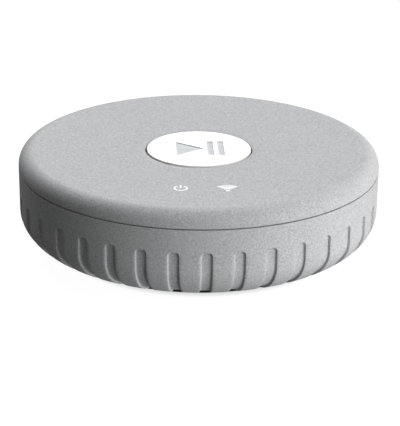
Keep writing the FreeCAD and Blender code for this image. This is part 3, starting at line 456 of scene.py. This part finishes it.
def lip_cutter():
    """The opening behind the panel."""
    width, height = (size - 2 * PANEL_LEDGE for size in RECESS)
    outline = rounded_outline(width, height, RECESS_CORNER - PANEL_LEDGE)
    return new_object("lip", tube_of_sections([(outline, lambda x, z: 45.0), (outline, lambda x, z: 48.5)]))


# ---- button, foot and small visible pieces -----------------------------------------------------------
def make_button(material):
    """The white cap, flat with a tight round edge."""
    edge = BUTTON_EDGE
    outline = [(0, BUTTON_LOW), (BUTTON_R - edge, BUTTON_LOW), (BUTTON_R, BUTTON_LOW + edge)]
    outline += arc(BUTTON_R - edge, BUTTON_TOP - edge, edge, 0, 90, 6)
    outline += [(r, BUTTON_TOP) for r in (BUTTON_R - 2 * edge, 12.5, 10.0, 0)]
    cap = new_object("play_button_cap", revolve(outline, loop=False))
    carve(cap, [prism_of("button_emblem", ((EMBLEM_TOP, EMBLEM_TOP + 2.4),))])
    finish_piece(cap, "play_button", "white_gloss", material, "button_cap")


def make_foot(material):
    """The rubber ring, with two shallow grooves turned into its sole."""
    edge = 0.3
    outline = arc(FOOT_OUT - edge, edge, edge, -90, 0, 5)
    outline += [(FOOT_OUT, FOOT_TOP - edge), (FOOT_OUT - edge / 2, FOOT_TOP)]
    outline += [(FOOT_IN + edge / 2, FOOT_TOP), (FOOT_IN, FOOT_TOP - edge)]
    outline += arc(FOOT_IN + edge, edge, edge, 180, 270, 5)
    for r in FOOT_GROOVES:
        outline += [(r, 0.0), (r + 0.2, 0.15), (r + 0.5, 0.15), (r + 0.7, 0.0)]
    foot = new_object("rubber_foot", revolve(outline))
    finish_piece(foot, "case", "foot_rubber", material, "foot_ring")


def soften(node, width):
    """Rounds the sharp edges of a CAD node that shows."""
    piece = NODES[node]
    weld = piece.modifiers.new("weld", "WELD")
    weld.merge_threshold = 1e-6
    flat = piece.modifiers.new("flat", "DECIMATE")
    flat.decimate_type = "DISSOLVE"
    flat.angle_limit = math.radians(0.5)
    bevel = piece.modifiers.new("bevel", "BEVEL")
    bevel.width = width * MM
    bevel.segments = 2
    bevel.limit_method = "ANGLE"
    bevel.angle_limit = math.radians(40)
    bevel.harden_normals = True


# ---- materials --------------------------------------------------------------------------------------
class Shader:
    """A material with its Principled shader, and short ways to add nodes to it."""

    def __init__(self, name, **inputs):
        self.material = bpy.data.materials.new(name)
        self.material.use_nodes = True
        self.tree = self.material.node_tree
        self.main = self.tree.nodes["Principled BSDF"]
        self.place = self.add("ShaderNodeTexCoord").outputs["Object"]
        for key, value in inputs.items():
            self.main.inputs[key.replace("_", " ")].default_value = value

    def add(self, kind, **inputs):
        node = self.tree.nodes.new(kind)
        for key, value in inputs.items():
            node.inputs[key.replace("_", " ")].default_value = value
        return node

    def link(self, output, target):
        self.tree.links.new(output, target)

    def noise(self, size_mm, detail=2.0, rough=0.5):
        node = self.add("ShaderNodeTexNoise", Scale=1 / (size_mm * MM), Detail=detail, Roughness=rough)
        self.link(self.place, node.inputs["Vector"])
        return node.outputs["Fac"]

    def ramp(self, fac, low, high, dark, light):
        """A colour that goes from dark to light as fac goes from low to high."""
        node = self.add("ShaderNodeValToRGB")
        for element, at, colour in zip(node.color_ramp.elements, (low, high), (dark, light)):
            element.position = at
            element.color = (*colour, 1)
        self.link(fac, node.inputs["Fac"])
        return node.outputs["Color"]

    def span(self, fac, low, high, to_low, to_high):
        node = self.add("ShaderNodeMapRange")
        for i, value in enumerate((low, high, to_low, to_high), 1):
            node.inputs[i].default_value = value
        self.link(fac, node.inputs[0])
        return node.outputs[0]

    def multiply(self, a, b, share=1.0):
        node = self.tree.nodes.new("ShaderNodeMix")
        node.data_type = "RGBA"
        node.blend_type = "MULTIPLY"
        node.inputs[0].default_value = share
        self.link(a, node.inputs[6])
        self.link(b, node.inputs[7])
        return node.outputs[2]

    def bump(self, *layers):
        """Bump from (height output, depth in mm, strength) layers, one on the other."""
        normal = None
        for height, depth, strength in layers:
            node = self.add("ShaderNodeBump", Strength=strength, Distance=depth * MM)
            self.link(height, node.inputs["Height"])
            if normal:
                self.link(normal, node.inputs["Normal"])
            normal = node.outputs["Normal"]
        self.link(normal, self.main.inputs["Normal"])

    def colour(self, output):
        self.link(output, self.main.inputs["Base Color"])

    def roughness(self, output):
        self.link(output, self.main.inputs["Roughness"])


def scaled(colour, factor):
    return tuple(min(1.0, c * factor) for c in colour)


def grained_plastic(name, colour, roughness, grain=0.35, spread=0.16, depth=0.05):
    """Moulded plastic with a fine spark-eroded grain, faint speckle and slow mottling."""
    shader = Shader(name, Roughness=roughness, Specular_IOR_Level=0.35)
    fine = shader.noise(grain, 3.0, 0.6)
    speckle = shader.ramp(fine, 0.3, 0.7, scaled(colour, 1 - spread), scaled(colour, 1 + spread))
    mottle = shader.ramp(shader.noise(9.0, 2.0), 0.35, 0.65, (0.975,) * 3, (1.0,) * 3)
    shader.colour(shader.multiply(speckle, mottle))
    shader.roughness(shader.span(fine, 0.3, 0.7, roughness + 0.05, roughness - 0.05))
    shader.bump((shader.noise(0.6, 2.0), depth, 0.15), (fine, depth * 0.6, 0.3))
    return shader.material


def plain_plastic(name, colour, roughness, grain=0.25, coat=0.0):
    """Smooth moulded plastic with a trace of flow and a slightly uneven polish."""
    shader = Shader(name, Roughness=roughness, Coat_Weight=coat, Coat_Roughness=0.06)
    flow = shader.noise(6.0, 3.0)
    fine = shader.noise(grain, 2.0)
    shader.colour(shader.ramp(flow, 0.3, 0.7, scaled(colour, 0.96), scaled(colour, 1.02)))
    shader.roughness(shader.span(flow, 0.3, 0.7, roughness - 0.03, roughness + 0.03))
    shader.bump((fine, 0.01, 0.15))
    return shader.material


def rubber(name, colour):
    shader = Shader(name, Roughness=0.75, Specular_IOR_Level=0.3)
    fine = shader.noise(0.25, 3.0)
    dust = shader.ramp(shader.noise(2.5, 4.0, 0.7), 0.45, 0.8, colour, scaled(colour, 1.5))
    shader.colour(dust)
    shader.roughness(shader.span(fine, 0.3, 0.7, 0.68, 0.85))
    shader.bump((fine, 0.04, 0.5))
    return shader.material


def metal(name, colour, roughness, streak=0.3):
    """Metal with a fine rolled or drawn streak along X."""
    shader = Shader(name, Metallic=1.0)
    stretch = shader.add("ShaderNodeMapping", Scale=(0.08, 1.0, 1.0))
    shader.link(shader.place, stretch.inputs["Vector"])
    streaks = shader.add("ShaderNodeTexNoise", Scale=1 / (streak * MM), Detail=3.0)
    shader.link(stretch.outputs["Vector"], streaks.inputs["Vector"])
    fac = streaks.outputs["Fac"]
    shader.colour(shader.ramp(fac, 0.3, 0.7, scaled(colour, 0.9), scaled(colour, 1.05)))
    shader.roughness(shader.span(fac, 0.3, 0.7, roughness - 0.06, roughness + 0.06))
    shader.bump((fac, 0.01, 0.2))
    return shader.material


def circuit_board(name, colour):
    """Solder mask with the faint lighter runs of copper under it."""
    shader = Shader(name, Roughness=0.35, Coat_Weight=0.3, Coat_Roughness=0.15)
    brick = shader.add("ShaderNodeTexBrick", Scale=1.0, Mortar_Size=0.0004)
    brick.inputs["Brick Width"].default_value = 0.009
    brick.inputs["Row Height"].default_value = 0.0016
    brick.inputs["Color1"].default_value = (*colour, 1)
    brick.inputs["Color2"].default_value = (*scaled(colour, 1.25), 1)
    brick.inputs["Mortar"].default_value = (*scaled(colour, 1.7), 1)
    shader.link(shader.place, brick.inputs["Vector"])
    dirt = shader.ramp(shader.noise(5.0, 3.0), 0.3, 0.7, (0.9,) * 3, (1.0,) * 3)
    shader.colour(shader.multiply(brick.outputs["Color"], dirt))
    shader.bump((brick.outputs["Fac"], 0.03, 0.4), (shader.noise(0.3), 0.01, 0.2))
    return shader.material


def lit_symbol(name):
    """Milky clear plastic with a lamp behind it."""
    shader = Shader(name, Base_Color=(0.66, 0.69, 0.72, 1), Roughness=0.35, Emission_Strength=0.16)
    glow = shader.ramp(shader.noise(1.5, 1.0), 0.3, 0.7, (0.85, 0.93, 1.0), (1.0, 1.0, 1.0))
    shader.link(glow, shader.main.inputs["Emission Color"])
    shader.bump((shader.noise(0.2), 0.01, 0.15))
    return shader.material


def build_materials():
    """One material for each slot of the record."""
    grey = (0.438, 0.442, 0.45)
    return {
        "grey_plastic": grained_plastic("grey_plastic", grey, 0.75, 0.45, 0.26),
        "white_gloss": plain_plastic("white_gloss", (0.86, 0.86, 0.86), 0.12, coat=0.5),
        "white_inner": plain_plastic("white_inner", (0.75, 0.75, 0.74), 0.45),
        "emblem_grey": grained_plastic("emblem_grey", (0.47, 0.49, 0.5), 0.38, 0.2, 0.04, 0.01),
        "black_plastic": plain_plastic("black_plastic", (0.016, 0.016, 0.017), 0.5),
        "panel_black": grained_plastic("panel_black", (0.022, 0.022, 0.024), 0.55, 0.3, 0.25, 0.04),
        "switch_black": plain_plastic("switch_black", (0.03, 0.03, 0.032), 0.4),
        "foot_rubber": rubber("foot_rubber", (0.014, 0.014, 0.014)),
        "label_foil": metal("label_foil", (0.72, 0.73, 0.74), 0.38, 0.2),
        "screw_steel": metal("screw_steel", (0.6, 0.6, 0.61), 0.3),
        "spring_steel": metal("spring_steel", (0.65, 0.65, 0.66), 0.25),
        "plunger_white": plain_plastic("plunger_white", (0.75, 0.75, 0.72), 0.4),
        "clear_white": lit_symbol("clear_white"),
        "lamp_white": plain_plastic("lamp_white", (0.85, 0.85, 0.7), 0.2, coat=0.3),
        "board_green": circuit_board("board_green", (0.012, 0.1, 0.045)),
        "board_blue": circuit_board("board_blue", (0.01, 0.03, 0.12)),
        "connector_cream": plain_plastic("connector_cream", (0.72, 0.67, 0.52), 0.45),
        "ribbon_white": plain_plastic("ribbon_white", (0.8, 0.81, 0.84), 0.3),
        "chip_black": grained_plastic("chip_black", (0.03, 0.03, 0.032), 0.6, 0.15, 0.2, 0.01),
        "pad_grey": rubber("pad_grey", (0.25, 0.27, 0.3)),
        "sink_aluminium": metal("sink_aluminium", (0.72, 0.73, 0.74), 0.35),
        "ferrite": grained_plastic("ferrite", (0.07, 0.07, 0.075), 0.5, 0.2, 0.2, 0.02),
        "can_aluminium": metal("can_aluminium", (0.8, 0.8, 0.8), 0.22),
        "ceramic": plain_plastic("ceramic", (0.4, 0.26, 0.15), 0.45),
        "shield_metal": metal("shield_metal", (0.7, 0.7, 0.69), 0.28),
        "contact_brass": metal("contact_brass", (0.85, 0.66, 0.32), 0.25),
        "lead_black": rubber("lead_black", (0.02, 0.02, 0.02)),
        "button_grey": plain_plastic("button_grey", (0.2, 0.205, 0.21), 0.4),
    }


def dress_nodes(materials):
    """Gives every CAD node the material of its slot."""
    for part in frame["record"]["subparts"]:
        data = NODES[part["node"]].data
        data.materials.clear()
        data.materials.append(materials[part["material_slot"]])


# ---- studio -----------------------------------------------------------------------------------------
def paper_object(name, bm, material):
    """A studio surface that shows to the camera and takes shadows, but throws no light or shadow."""
    mesh = bpy.data.meshes.new(name)
    bm.to_mesh(mesh)
    bm.free()
    made = bpy.data.objects.new(name, mesh)
    made.data.materials.append(material)
    bpy.context.scene.collection.objects.link(made)
    made.visible_diffuse = False
    made.visible_glossy = False
    made.visible_transmission = False
    made.visible_shadow = False
    return made


def studio_paper(name, glow, diffuse, contact=None):
    """White paper that is nearly burnt out. It is clear from behind, so that the underside can be seen.

    contact is the (inner, outer) radius, in mm, of a soft contact shadow round the origin.
    """
    material = bpy.data.materials.new(name)
    material.use_nodes = True
    nodes, links = material.node_tree.nodes, material.node_tree.links
    main = nodes["Principled BSDF"]
    main.inputs["Roughness"].default_value = 1.0
    main.inputs["Specular IOR Level"].default_value = 0.0
    main.inputs["Base Color"].default_value = (diffuse, diffuse, diffuse, 1)
    main.inputs["Emission Color"].default_value = (1, 1, 1, 1)
    main.inputs["Emission Strength"].default_value = glow
    if contact:
        place = nodes.new("ShaderNodeTexCoord")
        radius = nodes.new("ShaderNodeVectorMath")
        radius.operation = "LENGTH"
        links.new(place.outputs["Object"], radius.inputs[0])
        shade = nodes.new("ShaderNodeMapRange")
        darkest = 0.68 * glow
        for i, value in enumerate((contact[0] * MM, contact[1] * MM, darkest, glow), 1):
            shade.inputs[i].default_value = value
        links.new(radius.outputs["Value"], shade.inputs[0])
        links.new(shade.outputs[0], main.inputs["Emission Strength"])
    clear = nodes.new("ShaderNodeBsdfTransparent")
    back = nodes.new("ShaderNodeNewGeometry")
    mix = nodes.new("ShaderNodeMixShader")
    links.new(back.outputs["Backfacing"], mix.inputs["Fac"])
    links.new(main.outputs["BSDF"], mix.inputs[1])
    links.new(clear.outputs["BSDF"], mix.inputs[2])
    links.new(mix.outputs["Shader"], nodes["Material Output"].inputs["Surface"])
    return material


def add_floor():
    bm = bmesh.new()
    bmesh.ops.create_grid(bm, x_segments=4, y_segments=4, size=15)
    paper = studio_paper("floor_paper", 0.97, 0.1, (FOOT_OUT, CONTACT_SHADOW_OUT))
    floor = paper_object("floor", bm, paper)


def add_backdrop():
    """A wide white drum far behind everything, for views near the horizon."""
    bm = bmesh.new()
    bmesh.ops.create_uvsphere(bm, u_segments=48, v_segments=24, radius=14)
    bmesh.ops.reverse_faces(bm, faces=bm.faces)
    drum = paper_object("backdrop", bm, studio_paper("backdrop_paper", 1.0, 0.0))


def add_soft_light(name, azimuth, elevation, strength, width):
    """A broad far light. Azimuth 0 is at the front, and 90 to the right."""
    data = bpy.data.lights.new(name, "SUN")
    data.energy = strength
    data.angle = math.radians(width)
    light = bpy.data.objects.new(name, data)
    a, e = math.radians(azimuth), math.radians(elevation)
    towards = Vector((math.sin(a) * math.cos(e), -math.cos(a) * math.cos(e), math.sin(e)))
    light.rotation_euler = towards.to_track_quat("Z", "Y").to_euler()
    light.location = towards
    bpy.context.scene.collection.objects.link(light)


def add_studio():
    world = bpy.data.worlds.new("studio")
    world.use_nodes = True
    background = world.node_tree.nodes["Background"]
    background.inputs["Color"].default_value = (1, 1, 1, 1)
    background.inputs["Strength"].default_value = 0.125
    bpy.context.scene.world = world
    add_soft_light("key_low", 50, 5, 1.72, 56)
    add_soft_light("key_high", 57, 25, 1.28, 56)
    add_soft_light("side", 102, 35, 0.83, 56)
    add_soft_light("back", 187, 45, 2.6, 56)
    add_soft_light("bounce", 80, -30, 1.28, 56)
    bpy.context.scene.view_settings.view_transform = "Standard"
    bpy.context.scene.view_settings.look = "None"
    add_floor()
    add_backdrop()


# ---- the scene --------------------------------------------------------------------------------------
def main():
    add_camera()
    materials = build_materials()
    dress_nodes(materials)
    make_lid(materials["grey_plastic"])
    make_bowl(materials["grey_plastic"])
    make_button(materials["white_gloss"])
    make_foot(materials["foot_rubber"])
    for node in ("connector_panel", "setup_button", "line_out_jack", "optical_socket", "optical_shutter"):
        soften(node, 0.12)
    soften("button_carrier", 0.05)
    add_studio()
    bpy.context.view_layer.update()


main()
